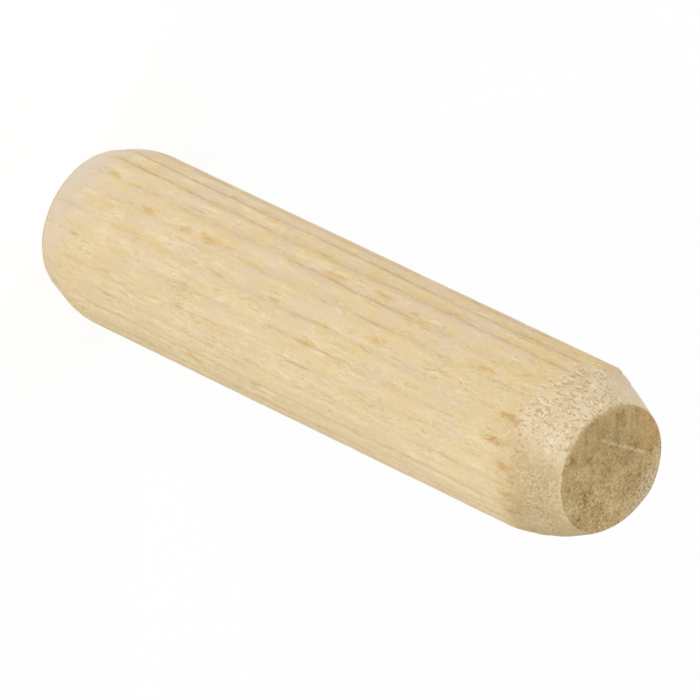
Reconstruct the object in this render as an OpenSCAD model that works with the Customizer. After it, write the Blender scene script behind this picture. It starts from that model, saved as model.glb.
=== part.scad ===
// Fluted wooden dowel pin, standing on its lower end.
// The origin is at the middle of the lower end face, and +Z runs along the pin.

/* [Pin] */
// Diameter over the crowns of the ridges
pin_d = 10; // [8:0.5:14]
// Length from end face to end face
pin_length = 40; // [30:1:60]

/* [Flutes] */
// Number of ridges pressed round the pin
flute_count = 24; // [18:1:28]
// Depth of a valley below the crowns
flute_depth = 0.15; // [0.1:0.01:0.3]
// Angle of each ridge that keeps the full diameter
crown_arc = 7; // [5:0.5:8]
// Angle from +X to the middle of the first ridge
first_ridge_turn = 2.5; // [0:0.5:15]

/* [Upper end] */
// Length of the upper chamfer along the pin
top_chamfer_h = 3; // [1.5:0.1:4]
// Depth of the upper chamfer across the pin, from the crowns to the end face
top_chamfer_depth = 1.35; // [0.5:0.05:2]

/* [Lower end] */
// Length of the lower chamfer along the pin
bottom_chamfer_h = 2.3; // [1:0.1:4]
// Depth of the lower chamfer across the pin, from the crowns to the end face
bottom_chamfer_depth = 0.8; // [0.5:0.05:2]

/* [Hidden] */

// Ends of the fluted bar, before the chamfers and end faces are turned on it
bar_overrun = 1;

pin_r = pin_d / 2;
valley_r = pin_r - flute_depth;
flute_pitch = 360 / flute_count;

// One arc of each ridge's flank runs from the edge of its crown to the valley.
// The arcs' centre, on the ridge's own radius, is as far from the one as from the other.
crown_edge = [pin_r * cos(crown_arc / 2), pin_r * sin(crown_arc / 2)];
valley_x = valley_r * cos(flute_pitch / 2);
ridge_centre = (pin_r ^ 2 - valley_r ^ 2) / (2 * (crown_edge.x - valley_x));
ridge_r = norm(crown_edge - [ridge_centre, 0]);
// A circle that meets every ridge between the two points where neighbours cross
core_r = ridge_centre * cos(flute_pitch / 2);

// Cross-section of the bar: round-backed ridges that meet in V-shaped valleys
module fluted_section() {
    circle(r = core_r, $fn = 192);
    for (i = [0 : flute_count - 1])
        rotate(first_ridge_turn + i * flute_pitch)
            translate([ridge_centre, 0])
                circle(r = ridge_r, $fn = 96);
}

module fluted_bar() {
    translate([0, 0, -bar_overrun])
        linear_extrude(height = pin_length + 2 * bar_overrun)
            fluted_section();
}

// The pin as a lathe would leave it: the full diameter, two chamfers and two flat ends
module turned_blank() {
    rotate_extrude($fn = 192)
        polygon([
            [0, 0],
            [pin_r - bottom_chamfer_depth, 0],
            [pin_r, bottom_chamfer_h],
            [pin_r, pin_length - top_chamfer_h],
            [pin_r - top_chamfer_depth, pin_length],
            [0, pin_length]
        ]);
}

// The blank trims the ridges to the pin's diameter and cuts their ends to a scalloped edge
module dowel_pin() {
    color([0.88, 0.80, 0.64])
        intersection() {
            turned_blank();
            fluted_bar();
        }
}

dowel_pin();
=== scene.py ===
"""A fluted wooden dowel pin that stands on its lower end, on a pale floor.

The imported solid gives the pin's size. One dense mesh stands for it: the same ridges, chamfers and flat ends,
with what pressing and sawing leave in wood, such as uneven valleys, torn fibres and crumbly end grain.
Lengths are in millimetres until a mesh, a lamp or the camera is made.
"""

import itertools
import math

import bpy
import numpy as np
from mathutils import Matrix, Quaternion, Vector


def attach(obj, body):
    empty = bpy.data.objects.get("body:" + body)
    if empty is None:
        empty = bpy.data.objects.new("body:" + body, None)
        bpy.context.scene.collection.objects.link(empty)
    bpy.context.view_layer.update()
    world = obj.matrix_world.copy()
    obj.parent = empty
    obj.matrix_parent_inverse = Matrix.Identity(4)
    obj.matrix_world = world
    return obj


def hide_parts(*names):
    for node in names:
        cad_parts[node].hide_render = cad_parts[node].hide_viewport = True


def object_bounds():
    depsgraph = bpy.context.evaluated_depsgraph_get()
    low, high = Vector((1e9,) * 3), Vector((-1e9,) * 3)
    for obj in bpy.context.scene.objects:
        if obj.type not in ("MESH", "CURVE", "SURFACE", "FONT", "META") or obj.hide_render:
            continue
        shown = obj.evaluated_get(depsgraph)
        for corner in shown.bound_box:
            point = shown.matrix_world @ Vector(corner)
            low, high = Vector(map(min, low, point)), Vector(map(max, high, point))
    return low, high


MM = 0.001

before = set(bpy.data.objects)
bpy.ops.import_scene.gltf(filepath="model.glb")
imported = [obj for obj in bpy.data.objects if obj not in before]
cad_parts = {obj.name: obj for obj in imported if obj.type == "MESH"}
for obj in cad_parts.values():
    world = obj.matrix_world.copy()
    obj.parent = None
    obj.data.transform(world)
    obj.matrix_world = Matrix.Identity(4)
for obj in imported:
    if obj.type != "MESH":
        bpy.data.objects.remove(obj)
cad_low, cad_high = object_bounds()

# The pin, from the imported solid
PIN_R = (cad_high.x - cad_low.x) / 2 / MM
PIN_LENGTH = (cad_high.z - cad_low.z) / MM

# The flutes and the ends, as the solid has them
FLUTE_COUNT = 24
FLUTE_DEPTH = 0.15
CROWN_ARC = math.radians(7)
FIRST_RIDGE_TURN = math.radians(2.5)
TOP_CHAMFER_H = 3.0
TOP_CHAMFER_DEPTH = 1.35
BOTTOM_CHAMFER_H = 2.3
BOTTOM_CHAMFER_DEPTH = 0.8
PITCH = 2 * math.pi / FLUTE_COUNT
SHOULDER_Z = PIN_LENGTH - TOP_CHAMFER_H
TOP_FACE_R = PIN_R - TOP_CHAMFER_DEPTH

# The edges' radii, from cutting and handling
BOTTOM_RIM_ROUND = 0.12
BOTTOM_SHOULDER_ROUND = 4.5
TOP_SHOULDER_ROUND = 0.15
TOP_RIM_ROUND = 0.2
RIDGE_SOFTNESS = 0.015

# The mesh: points round the pin, and the distance between its rings
COLUMNS_PER_RIDGE = 16
SHANK_STEP = 0.35
TOP_STEP = 0.07
BOTTOM_STEP = 0.2
CENTRE_GAP = 0.12

# The valleys: how far they stray to either side, how much their depth changes along the pin, and how deep
# they are pressed. One side is pressed less, and its valleys stray more; its turn is the last number here. Its
# valleys have little stain and little painted shade, like the side behind it.
VALLEY_WANDER = math.radians(1.4)
WANDER_CHANGE = 0.5
DEPTH_CHANGE = 0.5
PRESS = 0.8
PRESS_CHANGE = 0.3
SHALLOW_TURN = math.radians(-70)

# The noise along the valleys, in layers of cells to a millimetre, weight and seed
WANDER_LAYERS = [(0.11, 1, 11), (0.45, 0.6, 15)]
DEPTH_LAYERS = [(0.16, 1, 12), (0.6, 0.5, 13)]
STAIN_AND_SHADE_LAYERS = [(0.25, 1, 14)]
SPLIT_LAYERS = [(0.24, 1, 25)]
VALLEY_STRIDE = 7.31

# The darkening of the valleys, partly stain and partly painted shade: a wide band and a thin crease in each
# valley, with dark splits in some, most at SPLIT_TURN. A soiled patch lies just below the upper shoulder, at
# SOILED_TURN.
BAND_STAIN_AND_SHADE = 0.6
CREASE_STAIN_AND_SHADE = 0.85
CREASE_WIDTH = 0.06
SPLIT_STAIN_AND_SHADE = 1.6
SPLIT_WIDTH = 0.055
SPLIT_TURN = math.radians(-105)
SOILED_STAIN = 0.85
SOILED_TURN = math.radians(-64)

# Where the grain of the side has most colour, and the side where painted light makes the wood paler towards
# its upper end and painted shade darker towards its lower end; behind it, the other way round
COLOURED_TURN = math.radians(-167)
PAINTED_LIGHT_TURN = math.radians(-2)

# The upper chamfer is crumbly on one side, brown on the next, partly by painted shade, and faded behind. The
# lower one has a pale grey painted reflection, strongest on one side.
CRUMBLY_TURN = math.radians(-124)
BROWN_TURN = math.radians(-17)
FADED_TURN = math.radians(160)
GREY_SHEEN_TURN = math.radians(-160)

# What pressing and sawing leave: how high the marks are, how uneven the chamfers' edges are, how deep and how
# wide the upper rim has crumbled, and how chipped the upper end face is
FIBRE_HEIGHT = 0.006
CRUMB_HEIGHT = 0.035
PIT_DEPTH = 0.045
SAW_HEIGHT = 0.012
CUT_WANDER = 0.06
RIM_CRUMBLED = 0.07
CRUMBLED_WIDTH = 0.22
FACE_CHIPS = 0.4

# Their noise, in cells to a millimetre along each axis
FIBRE_CELLS = (3.2, 3.2, 0.3)
CRUMB_CELLS = (5.4, 5.4, 2.8)
SAW_CELLS = (1.1, 1.1, 1.1)
CUT_CELLS = (1.6, 1.6, 1.6)

# Where the chamfers depart from a true cone: the middle of the place in degrees round the pin, how far it
# reaches to either side, and how deep it is. Where the depth is below 0, wood is left standing. Each place
# has its full depth within WEAR_CORE degrees of its middle.
WEAR_CORE = 4
SHOULDER_WEAR = [(5, 50, 0.22), (-100, 18, 0.1), (185, 17, -0.27), (162, 18, 0.05)]
SHOULDER_REACH = 0.9
RIM_WEAR = [(48, 42, 0.2), (-92, 180, -0.1), (60, 180, -0.04), (148, 40, -0.04)]
LOWER_WEAR = [(158, 60, -0.1)]
LOWER_REACH = 0.8

# The upper rim is a little oval, and is longest at RIM_TURN.
RIM_STRETCH = 0.06
RIM_TURN = math.radians(-92)

# End grain starts past the shoulders, along an edge that follows the cut ridges by a share of their depth. At
# the upper one it starts sooner here by the last number.
EDGE_SHARE = 0.35
END_GRAIN_REACH = [(-10, 28, 0.6)]

# On the upper end face, the sides where the grain is open, where it is rosy and where pale crumbs hang on
OPEN_TURN = math.radians(25)
ROSY_TURN = math.radians(140)
CRUMBED_TURN = math.radians(88)

# Flecks where the press tore the wood. Those of the side that shows are given: turn in degrees, height and
# length. The others lie behind, by chance within limits for the turn in radians, the height and the length.
SEEN_FLECKS = [
    (-126, 3.2, 1.2), (-113, 7.0, 1.6), (-112, 10.0, 1.2), (-113, 11.8, 2.0), (-128, 20.5, 2.4),
    (-130, 23.9, 2.2), (-81, 21.3, 1.8), (-101, 25.8, 2.0), (-114, 32.8, 3.0), (-94, 36.2, 2.2),
    (-77, 35.8, 2.4), (-64, 36.7, 1.8), (-46, 37.1, 1.6), (-30, 37.0, 1.8), (-32, 12.5, 2.2),
]
OTHER_FLECKS = 24
OTHER_FLECK_LIMITS = [(0.15, 2.9), (2, 37.5), (1, 2.6)]
FLECK_WIDTH = 0.32

# On the upper end face: dark spots as places and radii, and the two ends of one pale ray
SPOTS = [(0.4, -3.2, 0.2), (0.05, -2.0, 0.17), (-1.75, 2.3, 0.14), (-0.8, -2.8, 0.12), (2.4, 1.2, 0.12)]
RAY_ENDS = np.array([(-1.2, -1.8), (-1.55, 2.1)])
RAY_WIDTH = 0.085


# ---------------------------------------------------------------- noise

NOISE_VALUES = 8192
HASH_PRIMES = np.array([73856093, 19349663, 83492791])


def value_noise(points, seed):
    """Smooth noise from -1 to 1 at each point, with one cell to a unit of length."""
    table = np.random.default_rng(seed).uniform(-1, 1, NOISE_VALUES)
    cell = np.floor(points).astype(np.int64)
    part = points - cell
    part = part * part * (3 - 2 * part)
    total = np.zeros(points.shape[:-1])
    for corner in itertools.product((0, 1), repeat=3):
        key = np.bitwise_xor.reduce((cell + corner) * HASH_PRIMES, axis=-1)
        weight = np.prod(np.where(corner, part, 1 - part), axis=-1)
        total += table[key % NOISE_VALUES] * weight
    return total


def layered_noise(points, cells, seed, octaves=3, fade=0.55):
    """Noise of several sizes. cells is the number of cells to a millimetre along each axis."""
    total, weight, size = 0, 1, np.asarray(cells, float)
    for octave in range(octaves):
        total = total + weight * value_noise(points * size, seed + octave)
        weight *= fade
        size = size * 2
    return total


def valley_noise(valley, height, layers):
    """Noise of its own for each valley, which changes along the pin."""
    number = np.mod(valley, FLUTE_COUNT) * VALLEY_STRIDE
    total = 0
    for cells, weight, seed in layers:
        points = np.stack(np.broadcast_arrays(number, height * cells, 0.5), axis=-1)
        total = total + weight * value_noise(points, seed)
    return total


# ---------------------------------------------------------------- curves

def smooth_step(low, high, value):
    """0 below low, 1 above high, and a smooth rise between them. It falls if low is the greater number."""
    t = np.clip((value - low) / (high - low), 0, 1)
    return t * t * (3 - 2 * t)


def smooth_min(a, b, softness):
    """The smaller of two values, rounded where they meet."""
    return (a + b - np.sqrt((a - b) ** 2 + softness ** 2)) / 2


def bell(away, width):
    """1 where away is 0, and almost nothing at twice the width."""
    return np.exp(-(away / width) ** 2)


def facing(turn, toward, narrow, wide):
    """1 within the narrow angle of a direction round the pin, and 0 beyond the wide one, both in degrees."""
    return smooth_step(math.cos(math.radians(wide)), math.cos(math.radians(narrow)), np.cos(turn - toward))


def toward_side(radius, turn, toward):
    """How far each point lies from the axis towards one side."""
    return radius * np.cos(turn - toward)


def places(radius, turn, height):
    """Points from their distances from the axis, angles round it and heights."""
    return np.stack(np.broadcast_arrays(radius * np.cos(turn), radius * np.sin(turn), height), axis=-1)


# ---------------------------------------------------------------- the pin's form

def outline():
    """The turned blank's outline, from the middle of the lower end to the middle of the upper end.

    Each row is a ring of the mesh: distance from the axis, height, and the outward direction in that plane.
    """
    corners = np.array([
        (CENTRE_GAP, 0),
        (PIN_R - BOTTOM_CHAMFER_DEPTH, 0),
        (PIN_R, BOTTOM_CHAMFER_H),
        (PIN_R, SHOULDER_Z),
        (TOP_FACE_R, PIN_LENGTH),
        (CENTRE_GAP, PIN_LENGTH),
    ])
    rounds = [0, BOTTOM_RIM_ROUND, BOTTOM_SHOULDER_ROUND, TOP_SHOULDER_ROUND, TOP_RIM_ROUND, 0]
    steps = [BOTTOM_STEP, BOTTOM_STEP, SHANK_STEP, TOP_STEP, TOP_STEP]
    sides = np.diff(corners, axis=0)
    along = sides / np.linalg.norm(sides, axis=1)[:, None]
    heading = np.arctan2(along[:, 1], along[:, 0])
    bend = [0, *np.diff(heading), 0]
    trim = [r * math.tan(b / 2) for r, b in zip(rounds, bend)]
    rows = []
    for i, step in enumerate(steps):
        # The straight side first, and then the rounded corner after it
        start = corners[i] + along[i] * trim[i]
        end = corners[i + 1] - along[i] * trim[i + 1]
        outward = np.array([along[i][1], -along[i][0]])
        count = max(1, round(math.dist(start, end) / step))
        for t in (np.arange(count) + 0.5) / count:
            rows.append((*(start + t * (end - start)), *outward))
        count = math.ceil(rounds[i + 1] * bend[i + 1] / step)
        centre = end - outward * rounds[i + 1]
        for t in (np.arange(count) + 0.5) / max(count, 1):
            angle = heading[i] + t * bend[i + 1]
            outward = np.array([math.sin(angle), -math.cos(angle)])
            rows.append((*(centre + outward * rounds[i + 1]), *outward))
    return np.array(rows)


def ridge_drop(across):
    """How far a ridge has fallen from its crown, as a share of the valley's depth.

    across is 0 at the crown and 1 at the valley. The crown keeps the pin's diameter, and one arc goes on
    from it.
    """
    valley_r = PIN_R - FLUTE_DEPTH
    edge = np.array([math.cos(CROWN_ARC / 2), math.sin(CROWN_ARC / 2)]) * PIN_R
    centre = (PIN_R ** 2 - valley_r ** 2) / (2 * (edge[0] - valley_r * math.cos(PITCH / 2)))
    arc_r = math.hypot(edge[0] - centre, edge[1])
    angle = across * PITCH / 2
    reach = centre * np.cos(angle) + np.sqrt(arc_r ** 2 - (centre * np.sin(angle)) ** 2)
    return np.maximum(PIN_R - reach, 0) / FLUTE_DEPTH


def press_ridges(height):
    """The fluted section at each point of the mesh: its angle round the pin, its radius, and its valley.

    The valleys lie half a pitch past each crown. The nearest one is given by its number and by how far it is,
    from 0 in the valley to 0.5 on the crown. The last value is 1 on the side that is pressed least and -1
    behind it.
    """
    ridge = np.arange(FLUTE_COUNT * COLUMNS_PER_RIDGE)[None, :] / COLUMNS_PER_RIDGE
    before = np.floor(ridge + 0.5)
    share = ridge + 0.5 - before
    nearest = np.floor(ridge + 1)
    turn = FIRST_RIDGE_TURN + ridge * PITCH
    clean = np.cos(turn - SHALLOW_TURN)
    wander = valley_noise(before, height, WANDER_LAYERS) * (1 - share)
    wander = wander + valley_noise(before + 1, height, WANDER_LAYERS) * share
    depth = FLUTE_DEPTH * (1 + DEPTH_CHANGE * valley_noise(nearest, height, DEPTH_LAYERS))
    section_r = PIN_R - ridge_drop(np.abs(2 * share - 1)) * depth * (PRESS - PRESS_CHANGE * clean)
    turn = turn + VALLEY_WANDER * wander * (1 + WANDER_CHANGE * clean)
    return turn, section_r, nearest, 0.5 - np.abs(share - 0.5), clean


def wear(turn, marks):
    """How deep the marks of one list are, at each angle round the pin."""
    return sum(depth * facing(turn, math.radians(toward), WEAR_CORE, reach) for toward, reach, depth in marks)


def turned_radius(turn, ring_r, ring_z, worn):
    """The blank's radius at each point, with worn shoulders and an uneven upper rim."""
    rim_share = np.clip((ring_z - SHOULDER_Z) / TOP_CHAMFER_H, 0, 1) * np.minimum(ring_r / TOP_FACE_R, 1)
    rim_change = RIM_STRETCH * np.cos(2 * (turn - RIM_TURN)) - wear(turn, RIM_WEAR)
    lower_wear = wear(turn, LOWER_WEAR) * bell(ring_z - BOTTOM_CHAMFER_H / 2, LOWER_REACH)
    return ring_r - worn * bell(ring_z - SHOULDER_Z, SHOULDER_REACH) + rim_change * rim_share - lower_wear


def past_shoulders(turn, height, section_r, worn):
    """How far past the upper and the lower shoulder each point lies, where the chamfers cut the ridges."""
    still_whole = EDGE_SHARE * (PIN_R - section_r)
    upper = height - SHOULDER_Z + (worn - still_whole) * TOP_CHAMFER_H / TOP_CHAMFER_DEPTH
    lower = BOTTOM_CHAMFER_H - height - still_whole * BOTTOM_CHAMFER_H / BOTTOM_CHAMFER_DEPTH
    return upper + wear(turn, END_GRAIN_REACH), lower


def roughness(place, cut, end_face, crumbly, crumbled):
    """How far the surface stands out from the smooth form, and where its crumbs and its pits are.

    Side grain is drawn out along the pin, and end grain is crumbly. cut is 1 where the wood was cut.
    """
    fibres = layered_noise(place, FIBRE_CELLS, 21)
    sawn = layered_noise(place, SAW_CELLS, 41, octaves=4)
    loose = crumbly * cut * (1 - end_face)
    crumbs = smooth_step(0.1, 1, layered_noise(place, CRUMB_CELLS, 31)) * (0.15 + 0.85 * loose)
    pits = smooth_step(0.4, 1.1, layered_noise(place, CRUMB_CELLS, 36)) * np.maximum(loose, 0.3 * end_face)
    lift = (1 - cut) * FIBRE_HEIGHT * (fibres - 1) + end_face * SAW_HEIGHT * (sawn - 1)
    lift += cut * (CRUMB_HEIGHT * (crumbs - 1) - PIT_DEPTH * pits)
    lift -= crumbled * RIM_CRUMBLED * (1 + 0.5 * sawn)
    return lift, crumbs * cut, pits * cut


# ---------------------------------------------------------------- what the material is told

def fleck_marks(turn, height):
    """1 in the middle of each torn fleck, and 0 away from all of them."""
    chance = np.random.default_rng(5)
    flecks = [(math.radians(mark[0]), *mark[1:]) for mark in SEEN_FLECKS]
    for _ in range(OTHER_FLECKS):
        flecks.append([chance.uniform(*limits) for limits in OTHER_FLECK_LIMITS])
    marks = np.zeros(np.broadcast_shapes(turn.shape, height.shape))
    for toward, middle, length in flecks:
        away = np.angle(np.exp(1j * (turn - toward))) * PIN_R
        marks = np.maximum(marks, bell(away, FLECK_WIDTH) * bell(height - middle, length / 2))
    return marks


def stain_and_shade_facts(turn, height, nearest, to_valley, clean, past_upper):
    """How dark the valleys are, by stain and by painted shade, and how near each point is to one."""
    near_valley = smooth_step(0.42, 0.06, to_valley)
    stain_and_shade = 1 + 0.7 * valley_noise(nearest, height, STAIN_AND_SHADE_LAYERS)
    # Painted shade in the valleys is weakest on the side pressed least and the side behind it, and strongest
    # between
    stain_and_shade = stain_and_shade * (0.2 + 1.15 * (1 - clean ** 2) ** 2)
    stain_and_shade = stain_and_shade * (BAND_STAIN_AND_SHADE * near_valley + CREASE_STAIN_AND_SHADE * bell(to_valley, CREASE_WIDTH))
    split = smooth_step(0.03, 0.33, valley_noise(nearest, height, SPLIT_LAYERS))
    split = split * (0.15 + 0.85 * facing(turn, SPLIT_TURN, 15, 55)) * bell(to_valley, SPLIT_WIDTH)
    soiled = facing(turn, SOILED_TURN, 15, 48) * bell(past_upper + 0.3, 0.8)
    return {
        "near_valley": near_valley,
        "stain_and_shade": stain_and_shade + SPLIT_STAIN_AND_SHADE * split + SOILED_STAIN * soiled,
    }


def side_facts(turn, height, past_upper, end_face, upper):
    """Where the side grain is coloured, where painted light makes it paler or darker along the pin, where a
    pale grey painted reflection lies near its lower end, and where it nears the upper shoulder.
    """
    return {
        "coloured": 0.5 + 0.5 * np.cos(turn - COLOURED_TURN),
        # painted light and shade: paler towards one end of the pin and darker towards the other, by side
        "painted_light": 0.5 + 0.5 * (np.cos(turn - PAINTED_LIGHT_TURN) - 0.5) * (2 * height / PIN_LENGTH - 1),
        # A pale grey painted reflection near the lower end, which also lightens it where it faces down
        "grey_sheen": smooth_step(3.6, 0.2, height) * (1 - end_face) * (0.55 + 0.45 * np.cos(turn - GREY_SHEEN_TURN)),
        "near_shoulder": smooth_step(1.5, 0, past_upper) * smooth_step(-5, -1.5, past_upper) * upper,
    }


def chamfer_facts(radius, turn, past_upper, end_face, upper, out_z):
    """The brown side of the upper chamfer, partly painted shade, its faded side, and the painted highlight on
    its rim.
    """
    chamfer = smooth_step(-0.5, 0.8, past_upper) * upper * (1 - end_face)
    rim = smooth_step(0.42, 0.6, out_z) * smooth_step(1, 0.93, out_z)
    return {
        # Brown on one side, partly brown end grain and partly painted shade
        "brown": smooth_step(0.1, 0.75, toward_side(radius, turn, BROWN_TURN) / PIN_R) * upper,
        "faded": chamfer * facing(turn, FADED_TURN, 6, 36),
        "rim": rim * facing(turn, BROWN_TURN, 50, 100),
    }


def face_facts(radius, turn, points, end_face, upper):
    """The open, the rosy and the crumbed side of the end face, and its dark spots and pale ray."""
    x, y = points[..., 0], points[..., 1]
    spots = np.zeros(x.shape)
    for spot_x, spot_y, size in SPOTS:
        spots = np.maximum(spots, bell(np.hypot(x - spot_x, y - spot_y), size))
    start, along = RAY_ENDS[0], RAY_ENDS[1] - RAY_ENDS[0]
    share = np.clip(((x - start[0]) * along[0] + (y - start[1]) * along[1]) / (along @ along), 0, 1)
    away = np.hypot(x - start[0] - share * along[0], y - start[1] - share * along[1])
    return {
        "open": smooth_step(-1.8, 2.2, toward_side(radius, turn, OPEN_TURN)),
        "rosy": smooth_step(1.6, 3.4, toward_side(radius, turn, ROSY_TURN)) * end_face,
        "crumbed": smooth_step(2, 3.5, toward_side(radius, turn, CRUMBED_TURN)) * end_face * upper,
        "spots": spots * upper,
        "ray": bell(away, RAY_WIDTH) * upper,
    }


# ---------------------------------------------------------------- the pin's mesh

def build_pin():
    """The pin's mesh, with what the material needs to know of each point of it."""
    rows = outline()
    ring_r, ring_z, out_r, out_z = (rows[:, i, None] for i in range(4))
    upper = ring_z > PIN_LENGTH / 2
    end_face = smooth_step(0.6, 0.95, np.abs(out_z))
    turn, section_r, nearest, to_valley, clean = press_ridges(ring_z)
    worn = wear(turn, SHOULDER_WEAR)
    blank_r = turned_radius(turn, ring_r, ring_z, worn)
    past_upper, past_lower = past_shoulders(turn, ring_z, section_r, worn)

    # The blank cuts the ridges' ends away, along an edge that isn't quite even.
    radius = smooth_min(blank_r, section_r, RIDGE_SOFTNESS)
    uneven = CUT_WANDER * layered_noise(places(PIN_R, turn, ring_z), CUT_CELLS, 51)
    cut = np.maximum(smooth_step(0, 0.12, section_r - blank_r + uneven), end_face)
    crumbly = upper * facing(turn, CRUMBLY_TURN, 22, 64)
    crumbled = crumbly * bell(np.hypot(ring_r - TOP_FACE_R, ring_z - PIN_LENGTH), CRUMBLED_WIDTH)
    lift, crumbs, pits = roughness(places(radius, turn, ring_z), cut, end_face, crumbly, crumbled)
    rough_r = radius + out_r * lift
    points = places(rough_r, turn, ring_z + out_z * lift)

    facts = {
        "end_grain": np.clip(0.5 + np.maximum(past_upper, past_lower) / 2.0, 0, 1),
        "end_face": end_face,
        "upper": upper,
        "crumbs": crumbs,
        "pits": pits,
        "crumbled": crumbled,
        "fleck": fleck_marks(turn, ring_z),
    }
    facts |= stain_and_shade_facts(turn, ring_z, nearest, to_valley, clean, past_upper)
    facts |= side_facts(turn, ring_z, past_upper, end_face, upper)
    facts |= chamfer_facts(rough_r, turn, past_upper, end_face, upper, out_z)
    facts |= face_facts(radius, turn, points, end_face, upper)
    chips = np.maximum(crumbly, 0.7 * facts["fleck"]) * (1 - end_face) * smooth_step(-1.4, 0.4, past_upper)
    facts["chips"] = chips + np.maximum(facts["crumbed"], FACE_CHIPS * end_face * upper)
    return grid_object("fluted_pin", points, rows, facts)


def grid_object(name, points, rows, facts):
    """A closed mesh from rings of points. Each ring is joined to the next, and a point closes each end."""
    ring_count, columns = points.shape[:2]
    middles = [points[0].mean(axis=0), points[-1].mean(axis=0)]
    vertices = np.concatenate([points.reshape(-1, 3), middles]) * MM
    ring, column = np.meshgrid(np.arange(ring_count - 1), np.arange(columns), indexing="ij")
    rings = np.stack([ring, ring, ring + 1, ring + 1], axis=-1).reshape(-1, 4)
    steps = np.stack([column, column + 1, column + 1, column], axis=-1).reshape(-1, 4)
    quads = rings * columns + steps % columns
    around = np.arange(columns)
    after = (around + 1) % columns
    first, last = ring_count * columns, ring_count * columns + 1
    top = (ring_count - 1) * columns
    low_fan = np.stack([np.full(columns, first), after, around], axis=-1)
    high_fan = np.stack([np.full(columns, last), top + around, top + after], axis=-1)
    mesh = bpy.data.meshes.new(name)
    mesh.from_pydata(vertices.tolist(), [], quads.tolist() + low_fan.tolist() + high_fan.tolist())
    mesh.update()
    mesh.polygons.foreach_set("use_smooth", np.ones(len(mesh.polygons), bool))
    for fact, values in facts.items():
        values = np.broadcast_to(values, (ring_count, columns))
        layer = mesh.attributes.new(fact, "FLOAT", "POINT")
        ends = [values[0].mean(), values[-1].mean()]
        layer.data.foreach_set("value", np.concatenate([values.reshape(-1), ends]).astype(np.float32))
    add_flat_map(mesh, rows, rings, steps, columns)
    piece = bpy.data.objects.new(name, mesh)
    bpy.context.scene.collection.objects.link(piece)
    return piece


def add_flat_map(mesh, rows, rings, steps, columns):
    """Lays the surface out flat: the side as one strip, with the two end faces as discs beside it."""
    gap = 0.4
    girth = 2 * math.pi * PIN_R
    travelled = np.concatenate([[0], np.cumsum(np.linalg.norm(np.diff(rows[:, :2], axis=0), axis=1))])
    flat = np.abs(rows[:, 3]) > 0.7
    side_start = travelled[~flat][0]
    disc_x = girth + gap + PIN_R
    lower_disc_y, upper_disc_y = PIN_R, 3 * PIN_R + gap

    def on_disc(ring, step):
        angle = 2 * math.pi * step / columns
        disc_y = np.where(rows[ring, 1] > PIN_LENGTH / 2, upper_disc_y, lower_disc_y)
        x = disc_x + rows[ring, 0] * np.cos(angle)
        y = disc_y + rows[ring, 0] * np.sin(angle)
        return np.stack([x, y], axis=-1)

    strip = np.stack([girth * steps / columns, travelled[rings] - side_start + gap], axis=-1)
    both_flat = flat[rings].all(axis=1)[:, None, None]
    flat_places = np.where(both_flat, on_disc(rings, steps), strip).reshape(-1, 2)
    around = np.arange(columns)
    fans = []
    for ring, middle_y, order in ((0, lower_disc_y, (1, 0)), (len(rows) - 1, upper_disc_y, (0, 1))):
        middle = np.tile([disc_x, middle_y], (columns, 1))
        edge = [on_disc(np.full(columns, ring), around + k) for k in order]
        fans.append(np.stack([middle, *edge], axis=1).reshape(-1, 2))
    side = girth + 2 * gap + 2 * PIN_R
    layer = mesh.uv_layers.new(name="OFBake")
    laid_out = np.concatenate([flat_places, *fans]) / side
    layer.uv.foreach_set("vector", laid_out.astype(np.float32).reshape(-1))


# ---------------------------------------------------------------- the wood

def tone(red, green, blue):
    """A colour as it looks on a screen, from 0 to 255, as the linear colour that a shader takes."""
    def linear(value):
        value /= 255
        return value / 12.92 if value <= 0.04045 else ((value + 0.055) / 1.055) ** 2.4
    return (linear(red), linear(green), linear(blue), 1)


# The grain's colours, each with how light the grain has to be for it: along the pin, on the chamfers where
# they are pale and where they are brown, partly by painted shade, and on the end faces
SIDE_TONES = [
    (0.33, tone(210, 186, 138)),
    (0.45, tone(229, 206, 160)),
    (0.53, tone(235, 212, 167)),
    (0.68, tone(246, 227, 188)),
]
PALE_CHAMFER_TONES = [
    (0.2, tone(144, 116, 84)),
    (0.4, tone(215, 191, 151)),
    (0.5, tone(232, 209, 170)),
    (0.66, tone(250, 236, 206)),
]
BROWN_CHAMFER_TONES = [
    (0.2, tone(120, 92, 56)),
    (0.42, tone(192, 167, 121)),
    (0.52, tone(212, 189, 145)),
    (0.68, tone(236, 217, 176)),
]
FACE_TONES = [
    (0.25, tone(130, 98, 56)),
    (0.42, tone(203, 173, 118)),
    (0.52, tone(227, 198, 142)),
    (0.66, tone(252, 231, 183)),
]

# What lies over the grain along the pin
YELLOW_TINT = tone(234, 207, 150)
PINK_TINT = tone(233, 209, 181)
# A pale grey painted reflection near the lower end, which also lightens it where it faces down
GREY_SHEEN_TINT = tone(236, 221, 203)
# Pale fibres, partly a painted highlight, and dark fibres, partly painted shade
RAISED_FIBRE_HIGHLIGHT = tone(251, 231, 193)
SUNK_FIBRE_SHADE = tone(184, 148, 102)
FLECK_EDGE = tone(230, 202, 143)
FLECK_MIDDLE = tone(225, 180, 124)
FLECK_CORE = tone(192, 145, 96)
FLECK_CURL = tone(252, 232, 194)
# The valleys' darkening, partly stain and partly painted shade
VALLEY_STAIN_AND_SHADE = tone(195, 163, 112)

# What lies over the grain of the chamfers and the end faces
SHOULDER_TINT = tone(222, 190, 128)
FADED_TINT = tone(244, 228, 206)
RUSTY_TINT = tone(210, 170, 118)
ROSY_TINT = tone(233, 184, 122)
PALE_CRUMBS = tone(252, 230, 188)
DARK_SPOT = tone(152, 118, 68)
PALE_RAY = tone(252, 232, 184)
CRUMBLED_RIM = tone(240, 217, 172)
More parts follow.
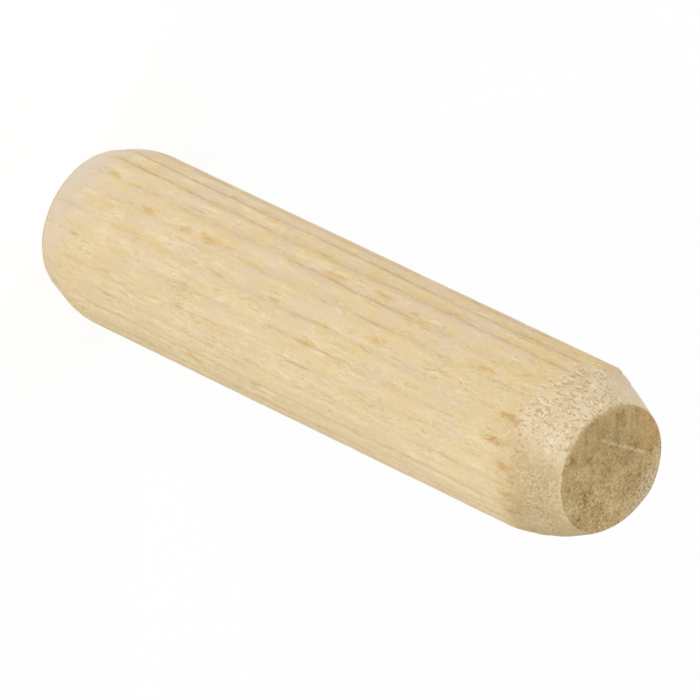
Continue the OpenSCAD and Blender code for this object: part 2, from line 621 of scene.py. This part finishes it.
# A painted highlight along the upper rim
RIM_HIGHLIGHT = tone(246, 226, 186)
TORN_END = tone(208, 166, 110)
# A painted shadow beside each chip, and its pale flake, partly a painted highlight
CHIP_SHADOW = tone(178, 140, 98)
CHIP_FLAKE = tone(252, 233, 194)

# How far the side grain strays, how far the painted shadow in a chip's hollow lies from its flake, and which
# way the saw's strokes run on the end faces
GRAIN_SWAY = 0.35
HOLLOW_BESIDE = (0.075, -0.055, 0.09)
SAW_TURN = math.radians(35)

# The surface itself
SPECULAR = 0.3
RELIEF_HEIGHT = 0.03
RELIEF_STRENGTH = 0.8


class Wood:
    """Short calls that add nodes to one material. What they give back can be linked on."""

    def __init__(self, name):
        self.material = bpy.data.materials.new(name)
        self.material.use_nodes = True
        self.tree = self.material.node_tree
        self.shader = self.tree.nodes["Principled BSDF"]
        self.place = self.tree.nodes.new("ShaderNodeTexCoord").outputs["Object"]

    def put(self, socket, value):
        """Links a value from another node to a socket, or sets the socket to a constant."""
        if isinstance(value, bpy.types.NodeSocket):
            self.tree.links.new(value, socket)
        else:
            socket.default_value = value

    def texture(self, cells, stretch, detail, roughness, shift=0, turn=0, across=1, beside=(0, 0, 0)):
        """A noise texture with so many cells to a millimetre, drawn out along the pin by stretch.

        across draws it out within the end faces instead, in the direction turn. shift and beside move it, so
        that textures of the same size don't look alike.
        """
        mapping = self.tree.nodes.new("ShaderNodeMapping")
        mapping.vector_type = "TEXTURE"
        self.put(mapping.inputs["Vector"], self.place)
        mapping.inputs["Location"].default_value = [(shift + step) * MM for step in beside]
        mapping.inputs["Rotation"].default_value = (0, 0, turn)
        mapping.inputs["Scale"].default_value = (MM / cells * across, MM / cells, MM / cells * stretch)
        texture = self.tree.nodes.new("ShaderNodeTexNoise")
        self.put(texture.inputs["Vector"], mapping.outputs["Vector"])
        texture.inputs["Scale"].default_value = 1
        texture.inputs["Detail"].default_value = detail
        texture.inputs["Roughness"].default_value = roughness
        return texture

    def noise(self, cells, stretch=1, detail=2, roughness=0.5, **where):
        """Noise from 0 to 1. The numbers are those of texture."""
        return self.texture(cells, stretch, detail, roughness, **where).outputs["Fac"]

    def wavy(self, reach, cells, stretch, shift):
        """The place of each point, moved aside by noise, so that grain drawn there doesn't run straight."""
        moved = self.tree.nodes.new("ShaderNodeVectorMath")
        moved.operation = "MULTIPLY_ADD"
        self.put(moved.inputs[0], self.texture(cells, stretch, 2, 0.5, shift).outputs["Color"])
        moved.inputs[1].default_value = (reach * MM, reach * MM, reach * MM)
        self.put(moved.inputs[2], self.place)
        return moved.outputs[0]

    def fact(self, name):
        """A value that the mesh holds for each of its points."""
        attribute = self.tree.nodes.new("ShaderNodeAttribute")
        attribute.attribute_name = name
        return attribute.outputs["Fac"]

    def rise(self, value, low, high, to_low=0.0, to_high=1.0):
        """A smooth rise of value from low to high, as a number from to_low to to_high."""
        node = self.tree.nodes.new("ShaderNodeMapRange")
        node.interpolation_type = "SMOOTHSTEP"
        self.put(node.inputs["Value"], value)
        self.put(node.inputs["From Min"], low)
        self.put(node.inputs["From Max"], high)
        self.put(node.inputs["To Min"], to_low)
        self.put(node.inputs["To Max"], to_high)
        return node.outputs["Result"]

    def math(self, operation, a, b):
        """The result of one operation on two values."""
        node = self.tree.nodes.new("ShaderNodeMath")
        node.operation = operation
        self.put(node.inputs[0], a)
        self.put(node.inputs[1], b)
        return node.outputs[0]

    def times(self, a, b):
        """Two values multiplied."""
        return self.math("MULTIPLY", a, b)

    def sum(self, *terms):
        """Values added up. A term is a value, or a pair of a value and its weight."""
        total = 0.0
        for term in terms:
            value = self.times(*term) if isinstance(term, tuple) else term
            total = self.math("ADD", total, value)
        return total

    def ramp(self, value, tones):
        """A colour for each value, from a list of values and their colours."""
        node = self.tree.nodes.new("ShaderNodeValToRGB")
        self.put(node.inputs[0], value)
        elements = node.color_ramp.elements
        while len(elements) < len(tones):
            elements.new(0.5)
        for element, (position, colour) in zip(elements, tones):
            element.position = position
            element.color = colour
        return node.outputs["Color"]

    def mix(self, mask, under, over):
        """The colour over laid on the colour under where mask is 1."""
        node = self.tree.nodes.new("ShaderNodeMix")
        node.data_type = "RGBA"
        self.put(node.inputs[0], mask)
        self.put(node.inputs[6], under)
        self.put(node.inputs[7], over)
        return node.outputs[2]

    def blend(self, mask, under, over):
        """Two values mixed by a mask."""
        node = self.tree.nodes.new("ShaderNodeMix")
        self.put(node.inputs[0], mask)
        self.put(node.inputs[2], under)
        self.put(node.inputs[3], over)
        return node.outputs[0]

    def broken(self, name, grain, low, high, least, most):
        """A value that the mesh holds, broken up by the grain: a share of it stays, from least to most."""
        return self.times(self.fact(name), self.rise(grain, low, high, least, most))


def plain_side(wood, fine, streaks):
    """The grain along the pin, stronger in some patches than in others."""
    dust = wood.noise(9, 1.4, 2, 0.7, shift=27)
    mottle = wood.noise(1.1, 3, 2, shift=5)
    patches = wood.rise(wood.noise(0.8, 2.5, 2, shift=40), 0.38, 0.62, 0.58, 1.14)
    texture = wood.times(patches, wood.sum((fine, 0.62), (dust, 0.4), -0.51))
    # painted light and shade: paler towards one end of the pin and darker towards the other, by side
    light = wood.sum(texture, (streaks, 0.42), (mottle, 0.12), 0.18, (wood.fact("painted_light"), 0.18))
    return wood.ramp(light, SIDE_TONES)


def tinted_side(wood, colour):
    """Yellow and pink patches, which are strongest on the coloured side."""
    coloured, near_shoulder = wood.fact("coloured"), wood.fact("near_shoulder")
    tint = wood.blend(coloured, 0.15, 0.68)
    yellow = wood.sum(wood.noise(1.4, 2.8, 1, shift=8), (near_shoulder, 0.07))
    colour = wood.mix(wood.times(tint, wood.rise(yellow, 0.42, 0.64)), colour, YELLOW_TINT)
    pink = wood.sum(wood.noise(1.4, 2.8, 1, shift=62), (coloured, 0.1), (near_shoulder, -0.14))
    return wood.mix(wood.times(tint, wood.rise(pink, 0.48, 0.7)), colour, PINK_TINT)


def torn_flecks(wood, colour, ragged):
    """The flecks: brown in the middle, darkest close to the upper shoulder, with pale curled fibres."""
    fleck = wood.fact("fleck")
    torn = wood.sum((fleck, 0.7), (ragged, 1.3))
    colour = wood.mix(wood.rise(torn, 0.88, 1.16, 0, 0.7), colour, FLECK_EDGE)
    colour = wood.mix(wood.rise(torn, 1.16, 1.34, 0, 0.6), colour, FLECK_MIDDLE)
    torn = wood.sum(torn, wood.noise(8, 2, 2, 0.6, shift=71), -0.5)
    core = wood.times(wood.rise(torn, 1.26, 1.42), wood.blend(wood.fact("near_shoulder"), 0.08, 0.55))
    colour = wood.mix(core, colour, FLECK_CORE)
    curl = wood.times(wood.rise(torn, 0.98, 0.86, 0, 0.5), fleck)
    return wood.mix(curl, colour, FLECK_CURL)


def side_grain(wood):
    """The colour and the fine height of the wood along the pin."""
    still = wood.place
    wood.place = wood.wavy(GRAIN_SWAY, 0.8, 2, shift=44)
    fine = wood.noise(6.5, 3.6, 3, 0.75)
    streaks = wood.noise(3.0, 11, 3, 0.6, shift=3)
    ragged = wood.noise(4, 2.6, 3, 0.7, shift=24)
    near_valley = wood.fact("near_valley")
    raised = wood.rise(wood.sum(wood.noise(5, 7, 1, shift=15), (near_valley, 0.06)), 0.68, 0.78)
    sunk = wood.rise(wood.sum(wood.noise(5, 7, 1, shift=18), (near_valley, 0.09)), 0.72, 0.82)
    colour = tinted_side(wood, plain_side(wood, fine, streaks))
    # Raised fibres drawn pale, partly a painted highlight, and sunk ones dark, partly painted shade
    colour = wood.mix(wood.times(raised, 0.6), colour, RAISED_FIBRE_HIGHLIGHT)
    colour = wood.mix(wood.times(sunk, 0.34), colour, SUNK_FIBRE_SHADE)
    colour = torn_flecks(wood, colour, ragged)
    # The valleys darkened, partly by stain and partly by painted shade
    colour = wood.mix(wood.broken("stain_and_shade", ragged, 0.35, 0.65, 0.32, 0.14), colour, VALLEY_STAIN_AND_SHADE)
    wood.place = still
    return colour, wood.sum((fine, 0.5), (streaks, 0.6), (raised, 0.4), (sunk, -0.4))


def chamfer_grain(wood, speckle, grit, blotch):
    """The colour of the chamfers: pale, but brown and rougher on one side, partly by painted shade, and yellow
    near the shoulder.
    """
    # The brown side, partly brown end grain and partly painted shade
    brown = wood.rise(wood.sum(wood.fact("brown"), (blotch, 0.9), (speckle, 0.6), -0.75), 0.15, 0.85)
    rough = wood.math("MAXIMUM", wood.times(wood.fact("chips"), 0.2), brown)
    rough = wood.blend(rough, 0.45, 0.98)
    rough = wood.times(rough, wood.rise(wood.noise(1.1, 1, 2, shift=61), 0.36, 0.64, 0.6, 1.35))
    spread = wood.times(rough, wood.sum((speckle, 0.55), (grit, 0.25), -0.4))
    # The crumbs are a little paler, and the pits darker: painted shade in the pits
    light = wood.sum(spread, (blotch, 0.28), 0.36, (wood.fact("crumbs"), 0.07), (wood.fact("pits"), -0.1))
    colour = wood.mix(brown, wood.ramp(light, PALE_CHAMFER_TONES), wood.ramp(light, BROWN_CHAMFER_TONES))
    yellow = wood.times(wood.fact("near_shoulder"), wood.blend(brown, 0.15, 0.42))
    return wood.mix(yellow, colour, SHOULDER_TINT)


def face_grain(wood, speckle, grit, blotch):
    """The colour of the end faces' grain, with the strokes of the saw."""
    opened = wood.fact("open")
    grain = wood.sum((speckle, 0.7), (grit, 0.45), -0.575)
    grain = wood.times(grain, wood.blend(opened, 0.48, 0.9))
    strokes = wood.noise(3.2, 1, 3, 0.6, shift=9, turn=SAW_TURN, across=9)
    strokes = wood.times(wood.sum((strokes, 0.6), -0.3), 0.3)
    # The pits are darker: painted shade in them
    light = wood.sum(grain, strokes, (blotch, 0.35), (opened, 0.025), 0.255, (wood.fact("pits"), -0.2))
    return wood.ramp(light, FACE_TONES)


def face_marks(wood, colour, speckle, grit):
    """Rusty, rosy and crumbed patches, dark spots, the pale ray and the crumbled rim of the end faces."""
    rusty = wood.rise(wood.noise(0.45, 1, 2, shift=21), 0.5, 0.7, 0, 0.28)
    colour = wood.mix(rusty, colour, RUSTY_TINT)
    colour = wood.mix(wood.broken("rosy", speckle, 0.42, 0.58, 0.05, 0.68), colour, ROSY_TINT)
    colour = wood.mix(wood.broken("crumbed", speckle, 0.38, 0.58, 0.15, 0.85), colour, PALE_CRUMBS)
    colour = wood.mix(wood.broken("spots", grit, 0.35, 0.55, 0.3, 0.9), colour, DARK_SPOT)
    gaps = wood.rise(wood.noise(2.1, 1, 4, 0.8, shift=47), 0.4, 0.56)
    ray = wood.times(wood.broken("ray", grit, 0.4, 0.58, 0.35, 1), gaps)
    colour = wood.mix(ray, colour, PALE_RAY)
    return wood.mix(wood.broken("crumbled", speckle, 0.4, 0.6, 0.35, 0.9), colour, CRUMBLED_RIM)


def end_grain(wood):
    """The colour and the fine height of the chamfers and the end faces."""
    speckle = wood.noise(6, 1, 3, 0.7, shift=2)
    grit = wood.noise(12, 1, 2, 0.6, shift=6)
    blotch = wood.noise(0.8, 1, 3, shift=4)
    chamfer = chamfer_grain(wood, speckle, grit, blotch)
    face = face_marks(wood, face_grain(wood, speckle, grit, blotch), speckle, grit)
    colour = wood.mix(wood.fact("end_face"), chamfer, face)
    # A painted highlight along the upper rim, most on the brown side
    colour = wood.mix(wood.broken("rim", speckle, 0.35, 0.6, 0.15, 0.65), colour, RIM_HIGHLIGHT)
    return colour, wood.sum((speckle, 0.7), (grit, 0.4))


def chip_marks(wood, low, beside=(0, 0, 0)):
    """Where the end grain has broken up into chips, from 0 to 1. beside moves the marks a little."""
    chip = wood.noise(5.2, 1.7, 3, 0.6, shift=33, beside=beside)
    sparse = wood.noise(1.4, 1.5, 2, shift=53)
    return wood.rise(wood.sum(chip, (wood.fact("chips"), 0.2), (sparse, 0.25)), low, 0.935)


def add_surface(wood, colour, roughness, height):
    """Gives the shader its colour, its roughness and its relief."""
    wood.put(wood.shader.inputs["Base Color"], colour)
    wood.put(wood.shader.inputs["Roughness"], roughness)
    wood.shader.inputs["Specular IOR Level"].default_value = SPECULAR
    bump = wood.tree.nodes.new("ShaderNodeBump")
    bump.inputs["Distance"].default_value = RELIEF_HEIGHT * MM
    bump.inputs["Strength"].default_value = RELIEF_STRENGTH
    wood.put(bump.inputs["Height"], height)
    wood.put(wood.shader.inputs["Normal"], bump.outputs["Normal"])


def wood_material():
    """Pale, bare wood: straight side grain along the pin, and speckled end grain on the chamfers and ends."""
    wood = Wood("pale_wood")
    side, side_height = side_grain(wood)
    end, end_height = end_grain(wood)
    # A pale grey painted reflection near the lower end
    side = wood.mix(wood.times(wood.fact("grey_sheen"), 0.9), side, GREY_SHEEN_TINT)
    end = wood.mix(wood.times(wood.fact("faded"), 0.45), end, FADED_TINT)

    # Side grain changes to end grain along a ragged line.
    past_shoulder, upper = wood.fact("end_grain"), wood.fact("upper")
    ragged = wood.noise(1.8, 2.5, 4, 0.8, shift=30)
    is_end = wood.rise(wood.sum(past_shoulder, (ragged, 1.5), -0.75), 0.3, 0.75)
    is_end = wood.times(is_end, wood.math("MAXIMUM", upper, wood.fact("end_face")))
    colour = wood.mix(is_end, side, end)

    # Flecks that reach the chamfer tear it, and chips leave pale flakes, partly a painted highlight, with a
    # painted shadow in a hollow beside each, always on the same side of it.
    torn = wood.rise(wood.sum((wood.fact("fleck"), 0.9), (ragged, 1.3)), 1.1, 1.5)
    torn = wood.times(wood.times(wood.rise(past_shoulder, 0.02, 0.4), upper), torn)
    flake = chip_marks(wood, 0.85)
    shaded_hollow = chip_marks(wood, 0.83, HOLLOW_BESIDE)
    colour = wood.mix(wood.times(torn, 0.6), colour, TORN_END)
    # The painted shadow beside each flake, then the flake, partly a painted highlight
    colour = wood.mix(wood.times(shaded_hollow, 0.5), colour, CHIP_SHADOW)
    colour = wood.mix(wood.times(flake, 0.85), colour, CHIP_FLAKE)
    end_height = wood.sum(end_height, (flake, 0.8), (shaded_hollow, -0.8))

    roughness = wood.rise(side_height, 0.4, 0.8, 0.82, 0.68)
    add_surface(wood, colour, roughness, wood.blend(is_end, side_height, end_height))
    return wood.material


# ---------------------------------------------------------------- the studio

# The camera: where it stands, how it is turned about its own axis, how much it takes in where the pin stands,
# and how far the pin's middle lies from the picture's middle, to the right and up
CAMERA_AZIMUTH = math.radians(-92)
CAMERA_ELEVATION = math.radians(40.33)
CAMERA_ROLL = math.radians(115.7)
CAMERA_DISTANCE = 754.5
FIELD_WIDTH = 37.43
PIN_OFFSET = (0.032, 0.309)
SENSOR_WIDTH = 36

# The lamps: name, degrees round the pin from the camera's side, degrees above the level, size and power
LAMP_DISTANCE = 1200
LAMPS = [
    ("upper_light", -80, 15, 920, 5.2),
    ("front_light", 0, 15, 920, 6.1),
    ("lower_light", 65, 15, 920, 4.85),
    ("back_light", 180, 10, 800, 2.4),
]
AMBIENT = 0.38

# The floor: its size, how pale it is for the pin, and what the camera sees of it: a glow, and a little of the
# light that falls on it
FLOOR_SIZE = 4000
FLOOR_PALE = 0.85
FLOOR_GLOW = 0.862
FLOOR_FAINT = 0.2

PIN_MIDDLE = Vector((0, 0, PIN_LENGTH / 2))


def direction(azimuth, elevation):
    """The direction from the pin to a place at this angle round it and this angle above the level."""
    level = math.cos(elevation)
    return Vector((math.cos(azimuth) * level, math.sin(azimuth) * level, math.sin(elevation)))


def add_camera():
    """A long lens that looks down on the pin, turned so that the pin runs down to the right."""
    data = bpy.data.cameras.new("camera")
    data.sensor_width = SENSOR_WIDTH
    data.lens = SENSOR_WIDTH * CAMERA_DISTANCE / FIELD_WIDTH
    data.clip_start = 0.01
    data.clip_end = 10
    camera = bpy.data.objects.new("camera", data)
    back = direction(CAMERA_AZIMUTH, CAMERA_ELEVATION)
    rotation = (-back).to_track_quat("-Z", "Y") @ Quaternion((0, 0, 1), CAMERA_ROLL)
    right, up = rotation @ Vector((1, 0, 0)), rotation @ Vector((0, 1, 0))
    place = PIN_MIDDLE + back * CAMERA_DISTANCE - right * PIN_OFFSET[0] - up * PIN_OFFSET[1]
    camera.location = place * MM
    camera.rotation_mode = "QUATERNION"
    camera.rotation_quaternion = rotation
    bpy.context.scene.collection.objects.link(camera)
    bpy.context.scene.camera = camera


def add_softbox(name, turn, elevation, size, power):
    """A square lamp that faces the pin. turn is its angle round the pin from the camera's side."""
    data = bpy.data.lights.new(name, "AREA")
    data.size = size * MM
    data.energy = power
    lamp = bpy.data.objects.new(name, data)
    toward = direction(CAMERA_AZIMUTH + math.radians(turn), math.radians(elevation))
    lamp.location = (PIN_MIDDLE + toward * LAMP_DISTANCE) * MM
    lamp.rotation_mode = "QUATERNION"
    lamp.rotation_quaternion = (-toward).to_track_quat("-Z", "Y")
    bpy.context.scene.collection.objects.link(lamp)


def camera_mix(tree, seen, other, output):
    """Shows the shader seen to the camera, also in a mirror or through glass, and other to the rest."""
    path = tree.nodes.new("ShaderNodeLightPath")
    looks = path.outputs["Is Camera Ray"]
    for ray in ("Is Glossy Ray", "Is Transmission Ray"):
        either = tree.nodes.new("ShaderNodeMath")
        either.operation = "MAXIMUM"
        tree.links.new(looks, either.inputs[0])
        tree.links.new(path.outputs[ray], either.inputs[1])
        looks = either.outputs[0]
    mixer = tree.nodes.new("ShaderNodeMixShader")
    tree.links.new(looks, mixer.inputs[0])
    tree.links.new(other, mixer.inputs[1])
    tree.links.new(seen, mixer.inputs[2])
    tree.links.new(mixer.outputs[0], output)


def floor_material():
    """Plain and pale for the pin, and almost white for the camera, with a faint trace of the pin's shadow."""
    material = bpy.data.materials.new("pale_floor")
    material.use_nodes = True
    tree = material.node_tree
    tree.nodes.remove(tree.nodes["Principled BSDF"])
    plain, faint = (tree.nodes.new("ShaderNodeBsdfDiffuse") for _ in range(2))
    plain.inputs["Color"].default_value = (FLOOR_PALE, FLOOR_PALE, FLOOR_PALE, 1)
    faint.inputs["Color"].default_value = (FLOOR_FAINT, FLOOR_FAINT, FLOOR_FAINT, 1)
    glow = tree.nodes.new("ShaderNodeEmission")
    glow.inputs["Strength"].default_value = FLOOR_GLOW
    both = tree.nodes.new("ShaderNodeAddShader")
    tree.links.new(faint.outputs[0], both.inputs[0])
    tree.links.new(glow.outputs[0], both.inputs[1])
    camera_mix(tree, both.outputs[0], plain.outputs[0], tree.nodes["Material Output"].inputs["Surface"])
    return material


def add_floor():
    """A wide floor under the pin."""
    half = FLOOR_SIZE / 2 * MM
    corners = [(-half, -half, 0), (half, -half, 0), (half, half, 0), (-half, half, 0)]
    mesh = bpy.data.meshes.new("floor")
    mesh.from_pydata(corners, [], [(0, 1, 2, 3)])
    mesh.materials.append(floor_material())
    floor = bpy.data.objects.new("floor", mesh)
    bpy.context.scene.collection.objects.link(floor)


def add_world():
    """White behind the floor, and an even, softer light from all sides."""
    world = bpy.data.worlds.new("studio")
    world.use_nodes = True
    tree = world.node_tree
    white = tree.nodes.new("ShaderNodeBackground")
    soft = tree.nodes["Background"]
    for background, strength in ((white, 1), (soft, AMBIENT)):
        background.inputs["Color"].default_value = (1, 1, 1, 1)
        background.inputs["Strength"].default_value = strength
    camera_mix(tree, white.outputs[0], soft.outputs[0], tree.nodes["World Output"].inputs["Surface"])
    bpy.context.scene.world = world


# ---------------------------------------------------------------- the scene

add_camera()
pin = build_pin()
pin.data.materials.append(wood_material())
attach(pin, "root")
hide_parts("dowel_pin")
add_floor()
add_world()
for lamp in LAMPS:
    add_softbox(*lamp)
bpy.context.scene.view_settings.view_transform = "Standard"
